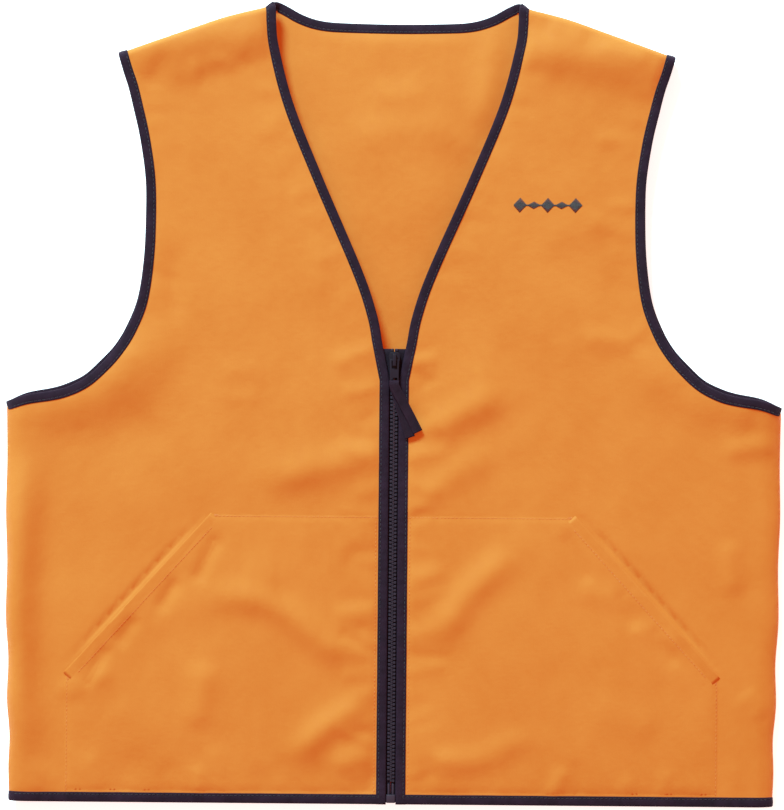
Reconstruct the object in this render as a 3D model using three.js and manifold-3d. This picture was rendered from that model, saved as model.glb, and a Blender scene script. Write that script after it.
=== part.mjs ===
import * as THREE from 'three';
import { mergeVertices } from 'three/addons/utils/BufferGeometryUtils.js';
import Module from 'manifold-3d';

// A blaze orange zip vest lying flat with its front up, in millimetres.
// +X runs to the wearer's left, +Y to the collar and +Z out of the front.
// Every edge line below belongs to the wearer's left half; the right half mirrors it.

const wasm = await Module();
wasm.setup();

// Driving dimensions
const TOP_Y = 315;                      // neck points; the hem lies at -TOP_Y
const HEM_Y = -TOP_Y;
const GAP = 0.3;                        // clearance between neighbouring pieces
const CLOTH = 0.8;                      // panel thickness
const BINDING_WIDTH = 7.2;
const BINDING_HEIGHT = 2.6;
const BINDING_WALL = 0.6;               // each leg of the folded tape
const BINDING_FOLD = 0.9;               // the closed fold at the free edge
const CLOTH_INSET = BINDING_FOLD + GAP; // from a binding's free edge to the cloth's edge
const BACK_Z = 0;                       // underside of the back's bindings
const FRONT_Z = 13.1;                   // underside of the front's bindings
const FRONT_TOP_Z = FRONT_Z + BINDING_HEIGHT;
const BACK_CLOTH_Z = BACK_Z + BINDING_FOLD;
const FRONT_CLOTH_Z = FRONT_Z + BINDING_FOLD;
const SEAM_WIDTH = 1;

const ZIP_EDGE_X = 3.75;                // free edge of the binding beside the zip
const ZIP_TOP_Y = 40;
const TAPE = { inner: 3, outer: 15, bottom: 12.2, top: 12.8, endY: 43 };
const TOOTH = { pitch: 3, length: 1.6, tip: 0.8, root: 2, outer: 2.7, bottom: 11, top: 14 };
const TEETH_END_Y = -299.5;
const STOP_LENGTH = 1.8;
const PIN = { inner: 0.95, outer: 2.45, bottom: 11.5, top: 13.5, topY: -299.9, endY: -313 };
const BOX = { half: 3.4, bottom: 10.2, top: 15.6, topY: -308.3 };

const SLIDER = { length: 16, y: 32, shoulder: 4.2, foot: 3.5, bottom: 9.6, top: 17 };
const TAB_PIVOT = { y: 33.3, z: 18.15 };
const TAB_BAR = { y: 14.3 };            // the bar that the ribbon loops round
const FOLD_TOP = [104.5, 313];          // the front's fold line, at the neck and at the hem
const FOLD_HEM = [296, HEM_Y];
const FOLD_GAP = 0.2;

const POCKET = {
  inner: ZIP_EDGE_X + BINDING_WIDTH + GAP,
  outer: 258,
  top: -88,
  bottom: HEM_Y + BINDING_WIDTH + GAP,
  mouthTop: [143, -88],
  mouthFoot: [257.8, -214.5],
  plateZ: 19.6,
  wall: 0.8,
};
const STITCH_Z = POCKET.plateZ + CLOTH + GAP;
const EMBLEM = { x: 119.5, y: 156, length: 55, height: 12, thickness: 0.4, spacing: 11 };

// Curves and outlines, as lists of [x, y]
const vector = ([x, y]) => new THREE.Vector2(x, y);
const pair = ({ x, y }) => [x, y];
const curve = (points, steps) => new THREE.SplineCurve(points.map(vector)).getSpacedPoints(steps).map(pair);
const mirrorLine = (line) => line.map(([x, y]) => [-x, y]);

// Moves an open line sideways, to its left where distance is positive, with mitred corners.
function offsetLine(line, distance) {
  const normals = line.slice(1).map(([x, y], i) => {
    const run = Math.hypot(x - line[i][0], y - line[i][1]);
    return [-(y - line[i][1]) / run, (x - line[i][0]) / run];
  });
  return line.map(([x, y], i) => {
    const before = normals[Math.max(i - 1, 0)];
    const after = normals[Math.min(i, normals.length - 1)];
    const scale = distance / (1 + before[0] * after[0] + before[1] * after[1]);
    return [x + (before[0] + after[0]) * scale, y + (before[1] + after[1]) * scale];
  });
}

// Lengthens an open line straight on at both ends.
function extendLine(line, length) {
  const beyond = ([x0, y0], [x1, y1]) => {
    const run = Math.hypot(x1 - x0, y1 - y0);
    return [x1 + ((x1 - x0) * length) / run, y1 + ((y1 - y0) * length) / run];
  };
  return [beyond(line[1], line[0]), ...line, beyond(line.at(-2), line.at(-1))];
}

const band = (line, from, to) => [...offsetLine(line, from), ...offsetLine(line, to).reverse()];

// Cloth lies to the left of each of these lines.
const neckEdge = curve([[95, 312], [80, 307], [45, 299], [0, 297], [-45, 299], [-80, 307], [-95, 312]], 20);
const neckline = [
  [96.5, 311.1], [93, 279], [81, 234], [57, 175],
  [26, 104], [14, 69], [9.3, 45], [ZIP_EDGE_X, 18],
];
const frontEdge = [...curve(neckline, 18), [ZIP_EDGE_X, HEM_Y]];
const ARMHOLE_FOOT = [305, -4];
const SHOULDER_TIP = [218, 274];
const armholeFront = curve([
  ARMHOLE_FOOT, [257, 10], [233, 25.5], [211, 57],
  [200, 88], [196, 136], [197.7, 183], [206, 230], SHOULDER_TIP,
], 24);
const armholeBack = curve([
  ARMHOLE_FOOT, [258, 13], [235, 28.5], [213, 59],
  [202, 89], [197.5, 136], [198.5, 183], [206, 230], SHOULDER_TIP,
], 24);
const sideEdge = [[300.3, HEM_Y], [302.6, -234], ARMHOLE_FOOT];
const shoulderEdge = curve([SHOULDER_TIP, [162, 293], [134, 302], [104.5, 309]], 6);

const FOLD_SLOPE = (FOLD_HEM[0] - FOLD_TOP[0]) / (FOLD_HEM[1] - FOLD_TOP[1]);
const foldX = (y) => FOLD_TOP[0] + FOLD_SLOPE * (y - FOLD_TOP[1]);

// Solids
function closed(geometry) {
  geometry.deleteAttribute('normal');
  geometry.deleteAttribute('uv');
  return mergeVertices(geometry, 1e-4);
}

function plate(outline, bottom, top, holes = []) {
  const shape = new THREE.Shape(outline.map(vector));
  shape.holes = holes.map((hole) => new THREE.Path(hole.map(vector)));
  const geometry = new THREE.ExtrudeGeometry(shape, { depth: top - bottom, bevelEnabled: false });
  return closed(geometry.translate(0, 0, bottom));
}

const rectangle = (x0, y0, x1, y1) => [[x0, y0], [x1, y0], [x1, y1], [x0, y1]];
const block = (x0, y0, z0, x1, y1, z1) => plate(rectangle(x0, y0, x1, y1), z0, z1);

function toSolid(geometry) {
  const mesh = new wasm.Mesh({
    numProp: 3,
    vertProperties: new Float32Array(geometry.attributes.position.array),
    triVerts: new Uint32Array(geometry.index.array),
  });
  return new wasm.Manifold(mesh);
}

function toGeometry(solid) {
  const mesh = solid.getMesh();
  const geometry = new THREE.BufferGeometry();
  geometry.setAttribute('position', new THREE.BufferAttribute(new Float32Array(mesh.vertProperties), 3));
  geometry.setIndex(new THREE.BufferAttribute(new Uint32Array(mesh.triVerts), 1));
  return geometry;
}

const join = (...geometries) => toGeometry(geometries.map(toSolid).reduce((all, next) => all.add(next)));
const without = (rest, tool) => rest.subtract(tool);
const cut = (geometry, ...tools) => toGeometry(tools.map(toSolid).reduce(without, toSolid(geometry)));
const common = (a, b) => toGeometry(toSolid(a).intersect(toSolid(b)));

function mirrored(geometry) {
  const copy = geometry.clone().scale(-1, 1, 1);
  const index = copy.index.array;
  for (let i = 0; i < index.length; i += 3) {
    [index[i + 1], index[i + 2]] = [index[i + 2], index[i + 1]];
  }
  return copy;
}

// A tape folded in a U over the cloth's edge, along the whole line.
function binding(line, bottom) {
  const bar = plate(band(line, 0, BINDING_WIDTH), bottom, bottom + BINDING_HEIGHT);
  const slot = plate(
    band(extendLine(line, 1), BINDING_FOLD, BINDING_WIDTH + 1),
    bottom + BINDING_WALL,
    bottom + BINDING_HEIGHT - BINDING_WALL,
  );
  return cut(bar, slot);
}

// The front is cut along its fold line: the flap side towards the zip, the yoke side outside it.
const BEYOND = 340;
const ZONE_Z = [-5, 40];
const foldLine = (shift) => [[foldX(-BEYOND) + shift, -BEYOND], [foldX(BEYOND) + shift, BEYOND]];
const flapZone = plate([[-20, -BEYOND], ...foldLine(-FOLD_GAP), [-20, BEYOND]], ...ZONE_Z);
const yokeZone = plate([[BEYOND, BEYOND], ...foldLine(FOLD_GAP).reverse(), [BEYOND, -BEYOND]], ...ZONE_Z);

// Materials
const finish = (color, roughness, metalness = 0) => ({ color, roughness, metalness });
const ORANGE_CLOTH = finish('#e6913f', 0.8);
const BLACK_TAPE = finish('#2e2833', 0.75);
const ORANGE_THREAD = finish('#d97a2c', 0.7);
const DARK_THREAD = finish('#3c2f38', 0.65);
const BLACK_RESIN = finish('#1d1b20', 0.4);
const BLACK_METAL = finish('#26252a', 0.35, 0.8);
const BLACK_RIBBON = finish('#26232a', 0.7);

const vest = new THREE.Group();

function piece(name, look, geometry) {
  const mesh = new THREE.Mesh(geometry, new THREE.MeshStandardMaterial(look));
  mesh.name = name;
  vest.add(mesh);
}

function pairOf(name, look, geometry) {
  piece(`${name}_left`, look, geometry);
  piece(`${name}_right`, look, mirrored(geometry));
}

// Cloth panels
const clothInset = (line) => offsetLine(line, CLOTH_INSET);
const sideCloth = [[sideEdge[0][0], HEM_Y + CLOTH_INSET], ...sideEdge.slice(1, -1)];

function backPanel() {
  const half = [...sideCloth, ...clothInset(armholeBack), ...shoulderEdge.slice(1)];
  const outline = [...half, ...clothInset(neckEdge), ...mirrorLine(half).reverse()];
  piece('back_panel', ORANGE_CLOTH, plate(outline, BACK_CLOTH_Z, BACK_CLOTH_Z + CLOTH));
}

function frontPanels() {
  const frontCloth = clothInset(frontEdge);
  frontCloth[frontCloth.length - 1] = [frontCloth.at(-1)[0], HEM_Y + CLOTH_INSET];
  const outline = [...sideCloth, ...clothInset(armholeFront), ...shoulderEdge.slice(1), ...frontCloth];
  const whole = plate(outline, FRONT_CLOTH_Z, FRONT_CLOTH_Z + CLOTH);
  pairOf('front_panel', ORANGE_CLOTH, common(whole, flapZone));
  pairOf('front_yoke', ORANGE_CLOTH, common(whole, yokeZone));
}

// Seams: thread walls that hold the front to the back
const SEAM_Z = [BACK_CLOTH_Z + CLOTH + GAP, FRONT_CLOTH_Z - GAP];

function seams() {
  const side = [[sideEdge[0][0] + 0.2, -306], sideEdge[1], [304.8, -14]];
  pairOf('side_seam', ORANGE_THREAD, plate(band(side, 0, SEAM_WIDTH), ...SEAM_Z));
  const shoulder = curve([[206, 277.9], [162, 293], [134, 302], [108, 308.2]], 5);
  pairOf('shoulder_seam', ORANGE_THREAD, plate(band(shoulder, GAP, GAP + SEAM_WIDTH), ...SEAM_Z));
}

// Bindings
const TURN_LENGTH = 9;                  // how far a binding's turned-up end runs

// A short wall that joins the front and back layers of tape at the start of a line
function turnedEnd(line, thickness) {
  const [[x0, y0], [x1, y1]] = line;
  const share = Math.min(1, TURN_LENGTH / Math.hypot(x1 - x0, y1 - y0));
  const run = [[x0, y0], [x0 + (x1 - x0) * share, y0 + (y1 - y0) * share]];
  return plate(band(run, 0, thickness), BACK_Z + 1, FRONT_TOP_Z - 1);
}

function armholeBindings() {
  const foot = turnedEnd(armholeFront, BINDING_WALL);
  const tip = turnedEnd([...armholeFront].reverse(), -BINDING_WALL);
  const loop = join(binding(armholeBack, BACK_Z), binding(armholeFront, FRONT_Z), foot, tip);
  pairOf('armhole_binding', BLACK_TAPE, loop);
}

function neckBinding() {
  const mitre = [[86, 309.8], [97, 311.6], [104.2, 311.6], [98, 313.8], [91.5, TOP_Y]];
  const corner = plate(mitre, BACK_Z, FRONT_TOP_Z);
  const edge = join(binding(neckEdge, BACK_Z), corner, mirrored(corner));
  piece('back_neck_binding', BLACK_TAPE, edge);
}

function hemBindings() {
  const sideX = sideEdge[0][0];
  const frontHem = binding([[ZIP_EDGE_X + BINDING_WIDTH + GAP, HEM_Y], [sideX, HEM_Y]], FRONT_Z);
  pairOf('front_hem_binding', BLACK_TAPE, common(frontHem, flapZone));
  const turn = block(FOLD_HEM[0] + 1, HEM_Y, BACK_Z, sideX, HEM_Y + BINDING_FOLD, FRONT_TOP_Z);
  const side = join(common(frontHem, yokeZone), turn);
  const back = binding([[-sideX, HEM_Y], [sideX, HEM_Y]], BACK_Z);
  piece('back_hem_binding', BLACK_TAPE, join(back, side, mirrored(side)));
}

function frontEdgeBindings() {
  pairOf('front_edge_binding', BLACK_TAPE, binding(frontEdge, FRONT_Z));
}

// Patch pockets, stitched down on all sides but the slanted mouth
function pockets() {
  const { inner, outer, top, bottom, mouthTop, mouthFoot, plateZ, wall } = POCKET;
  const stitchedEdge = [mouthTop, [inner, top], [inner, bottom], [outer, bottom], mouthFoot];
  const patch = plate(stitchedEdge, plateZ, plateZ + CLOTH);
  const rim = plate(band(stitchedEdge, 0, wall), FRONT_CLOTH_Z + CLOTH + GAP, plateZ + CLOTH / 2);
  pairOf('pocket', ORANGE_CLOTH, join(patch, rim));

  const STITCH_INSET = 3;
  const STITCH_START = 18;              // leaves the ribbon pull its path down the zip
  const HEM_TURN = 9;
  const run = [
    [inner + STITCH_START, top - STITCH_INSET],
    [mouthTop[0] - HEM_TURN, top - STITCH_INSET],
    [mouthFoot[0] - HEM_TURN, mouthFoot[1] - STITCH_INSET],
    [outer - HEM_TURN, bottom + STITCH_INSET],
  ];
  pairOf('pocket_stitching', ORANGE_THREAD, plate(band(run, 0, 0.8), STITCH_Z, STITCH_Z + GAP));

  const bartack = (x, y) => block(x - 3, y - 0.6, STITCH_Z, x + 3, y + 0.6, STITCH_Z + 0.4);
  pairOf('pocket_bartack_upper', ORANGE_THREAD, bartack(mouthTop[0] - 3.5, top - 1.3));
  pairOf('pocket_bartack_lower', ORANGE_THREAD, bartack(outer - 3.5, mouthFoot[1] - 6));
}

// Embroidered row of diamonds on the left chest
function chestEmblem() {
  const { x, y, length, height, thickness, spacing } = EMBLEM;
  const count = Math.round(length / spacing);
  const bottom = FRONT_CLOTH_Z + CLOTH + GAP;
  const barReach = length / 2 - 3;
  const bar = block(x - barReach, y - 0.8, bottom, x + barReach, y + 0.8, bottom + thickness);
  const diamonds = Array.from({ length: count }, (_, i) => {
    const centre = x + (i - (count - 1) / 2) * spacing;
    const halfHeight = i % 2 ? height / 4 : height / 2;
    const halfWidth = spacing / 2 - 0.2;
    return plate(
      [[centre - halfWidth, y], [centre, y - halfHeight], [centre + halfWidth, y], [centre, y + halfHeight]],
      bottom,
      bottom + thickness,
    );
  });
  piece('chest_emblem', DARK_THREAD, join(bar, ...diamonds));
}

// Zip
function zipTapes() {
  const outline = [
    [TAPE.inner, TAPE.endY], [TAPE.inner, BOX.topY + GAP], [BOX.half + GAP, BOX.topY + GAP],
    [BOX.half + GAP, HEM_Y + 0.5], [TAPE.outer, HEM_Y + 0.5], [TAPE.outer, TAPE.endY],
  ];
  pairOf('zip_tape', BLACK_TAPE, plate(outline, TAPE.bottom, TAPE.top));
}

function zipTeeth() {
  const count = Math.floor((ZIP_TOP_Y - TEETH_END_Y) / TOOTH.pitch);
  const comb = Array.from({ length: count }, (_, i) => {
    const top = ZIP_TOP_Y - GAP - i * TOOTH.pitch;
    const bottom = top - TOOTH.length;
    return [[TOOTH.root, top], [TOOTH.tip, top - 0.2], [TOOTH.tip, bottom + 0.2], [TOOTH.root, bottom]];
  }).flat();
  const outline = [...comb, [TOOTH.outer, comb.at(-1)[1]], [TOOTH.outer, comb[0][1]]];
  pairOf('zip_teeth', BLACK_RESIN, plate(outline, TOOTH.bottom, TOOTH.top));
  const stopY = ZIP_TOP_Y + 0.5;
  pairOf('zip_top_stop', BLACK_RESIN,
    block(TOOTH.tip + 0.1, stopY, TOOTH.bottom, TOOTH.outer, stopY + STOP_LENGTH, TOOTH.top));
}

function zipFoot() {
  const pin = block(PIN.inner, PIN.endY, PIN.bottom, PIN.outer, PIN.topY, PIN.top);
  piece('zip_insertion_pin', BLACK_RESIN, pin);
  piece('zip_retainer_pin', BLACK_RESIN, mirrored(pin));
  const socket = block(
    PIN.inner - GAP, PIN.endY - GAP, PIN.bottom - GAP, PIN.outer + GAP, BOX.topY + 1, PIN.top + GAP,
  );
  const body = block(-BOX.half, HEM_Y + 0.2, BOX.bottom, BOX.half, BOX.topY, BOX.top);
  piece('zip_retainer_box', BLACK_RESIN, cut(body, socket, mirrored(socket)));
}

// Slider: two shield-shaped plates joined by a post between the rows of teeth
function slider() {
  const { length, y, shoulder, foot, bottom, top } = SLIDER;
  const RAIL = { inner: 3, outer: 3.4 };
  const NOSE = { side: 2, taper: 1.5 };   // where the shield narrows at its top end
  const PLATE_BITE = 0.5;                 // how far inner solids run into the plates
  const y0 = y - length / 2;
  const y1 = y + length / 2;
  const innerY = y1 - 1.3;                // top end of the rails and the roof
  const right = [
    [foot, y0], [shoulder, y], [shoulder, y1 - NOSE.side], [shoulder - NOSE.taper, y1],
  ];
  const shield = [...right, ...mirrorLine(right).reverse()];
  const rail = (z0, z1) => block(RAIL.inner, y0, z0, RAIL.outer, innerY, z1);
  const lowerRail = rail(bottom, TAPE.bottom - GAP);
  const upperRail = rail(TAPE.top + GAP, FRONT_TOP_Z + PLATE_BITE);
  const post = block(-0.5, y - 1, bottom + PLATE_BITE, 0.5, y1 - 1, top - PLATE_BITE);
  const roof = block(-RAIL.outer, y0, TOOTH.top + GAP, RAIL.outer, innerY, top - PLATE_BITE);
  const body = join(
    plate(shield, bottom, TOOTH.bottom - GAP),
    lowerRail, mirrored(lowerRail),
    post,
    roof,
    upperRail, mirrored(upperRail),
    plate(shield, FRONT_TOP_Z + GAP, top),
  );
  piece('slider_body', BLACK_METAL, body);

  const BRIDGE = { half: 1.4, y0: 28.6, y1: 38.2, leg: 2, rise: 3.3, roof: 1.1 };
  const base = top + GAP;
  const arch = block(-BRIDGE.half, BRIDGE.y0, base, BRIDGE.half, BRIDGE.y1, base + BRIDGE.rise);
  const eye = block(
    -BRIDGE.half - 1, BRIDGE.y0 + BRIDGE.leg, base - 1,
    BRIDGE.half + 1, BRIDGE.y1 - BRIDGE.leg, base + BRIDGE.rise - BRIDGE.roof,
  );
  piece('slider_bridge', BLACK_METAL, cut(arch, eye));
}

function pullTab() {
  const half = 3.5;
  const thick = 1.2;
  const chamfer = 1;
  const barHalf = 1.3;                    // half the bar that holds the ribbon
  const pivotWall = 0.6;
  const farEnd = TAB_BAR.y - barHalf;
  const pivotEnd = TAB_PIVOT.y + pivotWall;
  const right = [[half - chamfer, farEnd], [half, farEnd + chamfer], [half, pivotEnd]];
  const outline = [...right, ...mirrorLine(right).reverse()];
  const bridgeWindow = rectangle(-2, 26.6, 2, TAB_PIVOT.y - pivotWall);
  const ribbonSlot = rectangle(-2.4, TAB_BAR.y + barHalf, 2.4, TAB_BAR.y + 5);
  const z0 = TAB_PIVOT.z - thick / 2;
  piece('pull_tab', BLACK_METAL, plate(outline, z0, z0 + thick, [bridgeWindow, ribbonSlot]));
}

// A doubled ribbon: it loops round the tab's end bar, and its two tails clear the pockets.
function ribbonPull() {
  const layer = 0.6;
  const low = FRONT_TOP_Z + GAP;
  const high = POCKET.plateZ + CLOTH + GAP;
  const halfWidth = 3.8;
  const loopHalf = 2;
  const near = TAB_BAR.y + 2.4;
  const far = TAB_BAR.y - 3;
  const loop = cut(
    block(-loopHalf, far, low, loopHalf, near, high + layer),
    block(-loopHalf - 1, far + layer, low + layer, loopHalf + 1, near - layer, high),
  );
  const tail = (route) => plate(band(route, -halfWidth, halfWidth), high, high + 2 * layer);
  const shared = [[0, far + layer], [1.5, 5], [7, -4]];
  piece('ribbon_pull', BLACK_RIBBON, join(
    loop,
    tail([...shared, [14, -12], [22.5, -18.5]]),
    tail([...shared, [11.5, -14], [14.8, -25.5]]),
  ));
}

backPanel();
frontPanels();
seams();
armholeBindings();
neckBinding();
hemBindings();
frontEdgeBindings();
pockets();
chestEmblem();
zipTapes();
zipTeeth();
zipFoot();
slider();
pullTab();
ribbonPull();

export default vest;
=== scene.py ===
"""Blaze orange vest: the visible pieces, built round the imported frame.

Outlines are in millimetres, as in the CAD. The wearer's left half (+x) is drawn, and mirrored for the right.
"""

import math

import bmesh
import bpy
import numpy as np
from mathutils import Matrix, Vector, geometry


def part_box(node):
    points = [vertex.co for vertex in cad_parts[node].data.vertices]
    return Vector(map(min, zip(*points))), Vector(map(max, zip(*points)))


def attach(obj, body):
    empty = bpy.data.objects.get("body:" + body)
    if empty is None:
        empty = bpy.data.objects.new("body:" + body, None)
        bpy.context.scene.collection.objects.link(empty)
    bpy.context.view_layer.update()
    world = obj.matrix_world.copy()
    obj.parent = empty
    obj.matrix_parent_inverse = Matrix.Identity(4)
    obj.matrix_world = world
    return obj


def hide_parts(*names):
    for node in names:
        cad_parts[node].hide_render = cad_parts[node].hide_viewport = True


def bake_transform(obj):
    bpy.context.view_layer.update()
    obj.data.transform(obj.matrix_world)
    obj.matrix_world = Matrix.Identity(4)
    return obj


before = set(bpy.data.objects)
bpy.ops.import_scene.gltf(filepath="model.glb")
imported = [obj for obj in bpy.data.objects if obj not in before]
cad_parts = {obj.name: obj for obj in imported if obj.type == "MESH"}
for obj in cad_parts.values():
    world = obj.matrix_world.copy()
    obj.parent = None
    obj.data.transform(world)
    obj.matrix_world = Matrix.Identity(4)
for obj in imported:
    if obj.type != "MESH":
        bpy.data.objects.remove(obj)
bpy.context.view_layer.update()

MM = 0.001
TAU = 2 * math.pi
TINY = 1e-9

# ---------------------------------------------------------------- camera, light and floor

PHOTO_SPAN = 0.6367            # metres across the image's long side, at the front's height
LENS, SENSOR = 150, 36
SUBJECT_Z = 0.015
CAMERA_X, CAMERA_Y = -0.0016, -0.00197
CAMERA_ROLL = 0.5              # degrees
KEY_PLACE, KEY_SIZE, KEY_WATTS = (-1.9, 4.5, 3.0), 1.8, 680
KEY_COLOUR = (0.48, 1.0, 1.12)           # cool, so that the cloth's shadows turn redder, as in the photograph
FILL_COLOUR, FILL_STRENGTH = (1.36, 0.66, 0.52, 1), 0.54

camera_data = bpy.data.cameras.new("camera")
camera_data.lens = LENS
camera_data.sensor_width = SENSOR
camera = bpy.data.objects.new("camera", camera_data)
camera.location = (CAMERA_X, CAMERA_Y, SUBJECT_Z + PHOTO_SPAN * LENS / SENSOR)
camera.rotation_euler = (0, 0, math.radians(CAMERA_ROLL))
bpy.context.scene.collection.objects.link(camera)
bpy.context.scene.camera = camera

bpy.context.scene.view_settings.view_transform = "Standard"
bpy.context.scene.view_settings.look = "None"


def area_light(name, location, size, power, colour):
    """A round soft light aimed at the vest."""
    data = bpy.data.lights.new(name, "AREA")
    data.shape = "DISK"
    data.size = size
    data.energy = power
    data.color = colour
    light = bpy.data.objects.new(name, data)
    light.location = location
    light.rotation_euler = Vector(location).to_track_quat("Z", "Y").to_euler()
    bpy.context.scene.collection.objects.link(light)


area_light("key", KEY_PLACE, KEY_SIZE, KEY_WATTS, KEY_COLOUR)

world = bpy.data.worlds.new("studio")
world.use_nodes = True
background = world.node_tree.nodes["Background"]
background.inputs["Color"].default_value = FILL_COLOUR
background.inputs["Strength"].default_value = FILL_STRENGTH
bpy.context.scene.world = world

# ---------------------------------------------------------------- lines


def resample(line, step):
    """The line again, with its points in even steps."""
    line = np.asarray(line, float)
    lengths = np.r_[0, np.cumsum(np.linalg.norm(np.diff(line, axis=0), axis=1))]
    count = max(2, int(round(lengths[-1] / step)) + 1)
    at = np.linspace(0, lengths[-1], count)
    return np.column_stack([np.interp(at, lengths, line[:, i]) for i in range(line.shape[1])])


POINTS_PER_SPAN = 24


def spline(points, step=2.5):
    """Catmull-Rom curve through the points, in even steps."""
    p = np.asarray(points, float)
    padded = np.vstack([p[:1], p, p[-1:]])
    t = np.linspace(0, 1, POINTS_PER_SPAN, endpoint=False)[:, None]
    parts = []
    for i in range(len(p) - 1):
        before, start, end, after = padded[i:i + 4]
        v0, v1 = (end - before) / 2, (after - start) / 2
        cube = (2 * start - 2 * end + v0 + v1) * t**3
        square = (3 * end - 3 * start - 2 * v0 - v1) * t**2
        parts.append(cube + square + v0 * t + start)
    parts.append(p[-1:])
    return resample(np.vstack(parts), step)


def unit(v):
    return v / np.maximum(np.linalg.norm(v, axis=-1, keepdims=True), TINY)


def left_normal(line):
    t = unit(np.gradient(line[:, :2], axis=0))
    return np.column_stack([-t[:, 1], t[:, 0]])


def offset(line, distance):
    return line[:, :2] + distance * left_normal(line)


def mirror(line):
    return np.asarray(line, float) * [-1, 1]


CHUNK = 3000                   # points taken at once, to spare memory


def along(points, line):
    """For each point, its distance to the line, and how far along the line its nearest point lies."""
    a = line[:-1]
    d = np.diff(line, axis=0)
    length = np.linalg.norm(d, axis=1)
    start = np.r_[0, np.cumsum(length)[:-1]]
    distance, position = [], []
    for chunk in np.array_split(points, max(1, len(points) // CHUNK)):
        r = chunk[:, None, :] - a[None]
        t = np.clip((r * d).sum(-1) / np.maximum(length**2, TINY), 0, 1)
        far = np.linalg.norm(r - t[..., None] * d, axis=-1)
        i = far.argmin(1)
        rows = np.arange(len(chunk))
        distance.append(far[rows, i])
        position.append(start[i] + t[rows, i] * length[i])
    return np.concatenate(distance), np.concatenate(position)


def smooth(t):
    t = np.clip(t, 0, 1)
    return t * t * (3 - 2 * t)


WAVE_COUNT = 14


def waves(seed, wavelength):
    """A gentle random relief of about unit height."""
    rng = np.random.default_rng(seed)
    angle = rng.uniform(0, TAU, WAVE_COUNT)
    k = TAU / (wavelength * rng.uniform(0.7, 1.5, WAVE_COUNT))
    phase = rng.uniform(0, TAU, WAVE_COUNT)

    def relief(p):
        turns = p[:, :1] * (k * np.cos(angle)) + p[:, 1:2] * (k * np.sin(angle)) + phase
        return np.sin(turns).sum(1) / math.sqrt(WAVE_COUNT / 2)

    return relief


# ---------------------------------------------------------------- the vest's outline (mm, +x half)

HEM_Y = -316.0
CLOTH_INSET = 1.2              # from a tape's free edge to the cloth's edge
CLOTH = 0.5                    # thickness
ZIP_EDGE_X, ZIP_EDGE_TOP = 3.75, 18
HEM_END_X = 300.3
UNDERARM, ARMHOLE_TIP = [305, -1.5], [219.5, 273]
NECK_HALF = [
    [101.4, 312.4], [98.6, 314.4], [95.6, 315.4], [92.4, 314.8], [86, 311.8], [76, 306.2], [65.2, 302.2],
    [54.5, 300.2], [42, 299.4], [20, 298.8],
]
NECK = spline(NECK_HALF + [[0, 298.6]] + [[-x, y] for x, y in reversed(NECK_HALF)])
FRONT_EDGE = np.vstack([
    spline([
        [97.6, 314.6], [96.1, 312.2], [95.4, 307], [95.2, 297.8], [93, 279], [81, 234], [57, 175], [26, 104],
        [14, 69], [9.3, 45], [ZIP_EDGE_X, ZIP_EDGE_TOP],
    ])[:-1],
    resample([[ZIP_EDGE_X, ZIP_EDGE_TOP], [ZIP_EDGE_X, HEM_Y]], 2.5),
])
ARMHOLE_TOP = [[201.5, 206], [207, 230], [211, 246], [215, 258], ARMHOLE_TIP]
ARMHOLE_FRONT = spline([
    UNDERARM, [290, 3.6], [270, 6.8], [257, 10.2], [243, 17.4], [230, 29], [219.3, 41.5], [210.3, 57],
    [201.8, 80], [197.4, 112], [196.1, 143], [197, 175],
] + ARMHOLE_TOP)
ARMHOLE_BACK = spline([
    UNDERARM, [290, 5.4], [270, 9.4], [258, 13.2], [244.5, 20], [232, 31.5], [221, 43.5], [212, 58.5],
    [203.3, 81], [198.8, 112], [197.4, 143], [197.8, 175],
] + ARMHOLE_TOP)
SIDE = spline([
    [HEM_END_X, HEM_Y], [301.4, -290], [300.7, -264], [303.0, -236], [302.2, -204], [304.4, -170],
    [303.7, -128], [305.0, -88], [304.3, -48], UNDERARM,
])
SHOULDER = spline([ARMHOLE_TIP, [162, 293.4], [134, 303], [104.5, 310.4]])
# the seams drawn out past their ends, where the cloth still rolls over
SHOULDER_FOLD = np.vstack([[[234, 268]], SHOULDER, [[84, 319.8]]])
SIDE_FOLD = np.vstack([[[299.9, -330]], SIDE, [[305.2, 8]]])

# ---------------------------------------------------------------- the lie of the cloth

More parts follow.
